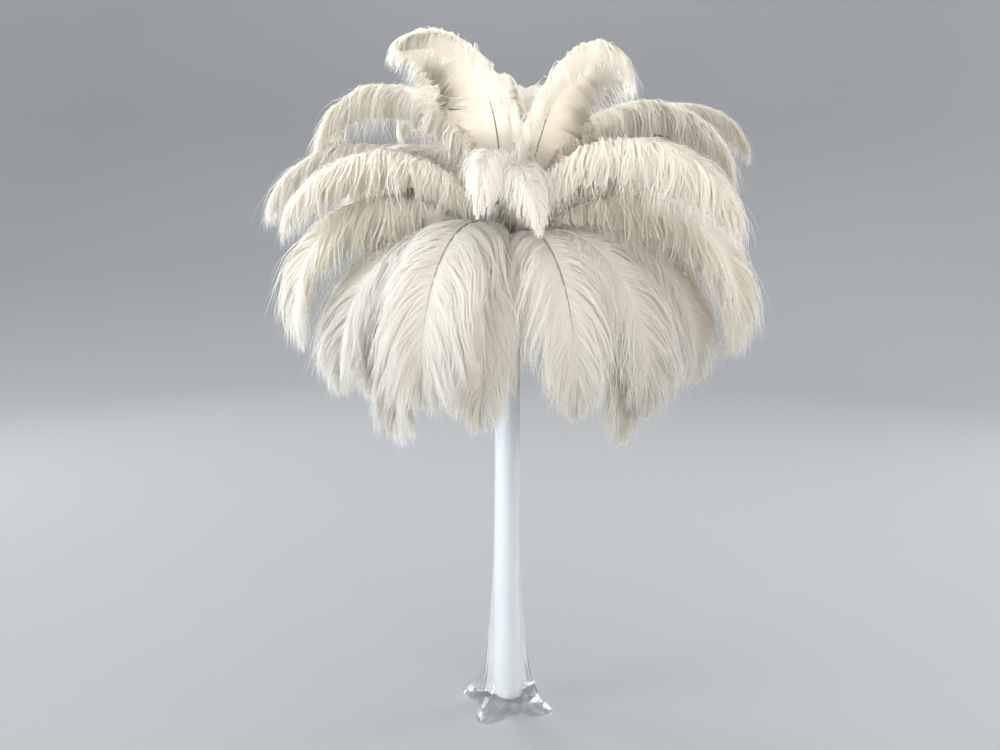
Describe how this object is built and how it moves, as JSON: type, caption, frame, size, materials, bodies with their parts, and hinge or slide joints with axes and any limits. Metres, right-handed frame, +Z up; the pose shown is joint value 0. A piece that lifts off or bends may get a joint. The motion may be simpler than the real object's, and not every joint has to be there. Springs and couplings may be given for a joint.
{
  "type": "ostrich feather bouquet in a vase",
  "caption": "Bouquet of white ostrich plumes arching out in tiers from a tall, slender trumpet vase of white glass cased in clear glass, on a clear foot with drawn-out toes.",
  "frame": {"origin": "centre of the vase's underside, on the surface it stands on", "axes": "+Z up along the vase, -Y the front that faces the viewer, +X to the viewer's right"},
  "size_m": [0.633, 0.5833, 0.901],
  "materials": {
    "plume": "soft matt",
    "white_glass": "gloss",
    "clear_glass": "gloss"
  },
  "bodies": {
    "root": {"plume_crown_01": "plume", "plume_crown_02": "plume", "plume_crown_03": "plume", "plume_lower_01": "plume", "plume_lower_02": "plume", "plume_lower_03": "plume", "plume_lower_04": "plume", "plume_lower_05": "plume", "plume_lower_06": "plume", "plume_lower_07": "plume", "plume_lower_08": "plume", "plume_lower_09": "plume", "plume_lower_10": "plume", "plume_lower_11": "plume", "plume_middle_01": "plume", "plume_middle_02": "plume", "plume_middle_03": "plume", "plume_middle_04": "plume", "plume_middle_05": "plume", "plume_middle_06": "plume", "plume_middle_07": "plume", "plume_middle_08": "plume", "plume_middle_09": "plume", "plume_shoulder_01": "plume", "plume_shoulder_02": "plume", "plume_shoulder_03": "plume", "plume_shoulder_04": "plume", "plume_under_01": "plume", "plume_under_02": "plume", "plume_under_03": "plume", "plume_under_04": "plume", "plume_under_05": "plume", "plume_upper_01": "plume", "plume_upper_02": "plume", "plume_upper_03": "plume", "plume_upper_04": "plume", "plume_upper_05": "plume", "vase_clear_casing": "clear_glass", "vase_white_liner": "white_glass"}
  },
  "joints": []
}
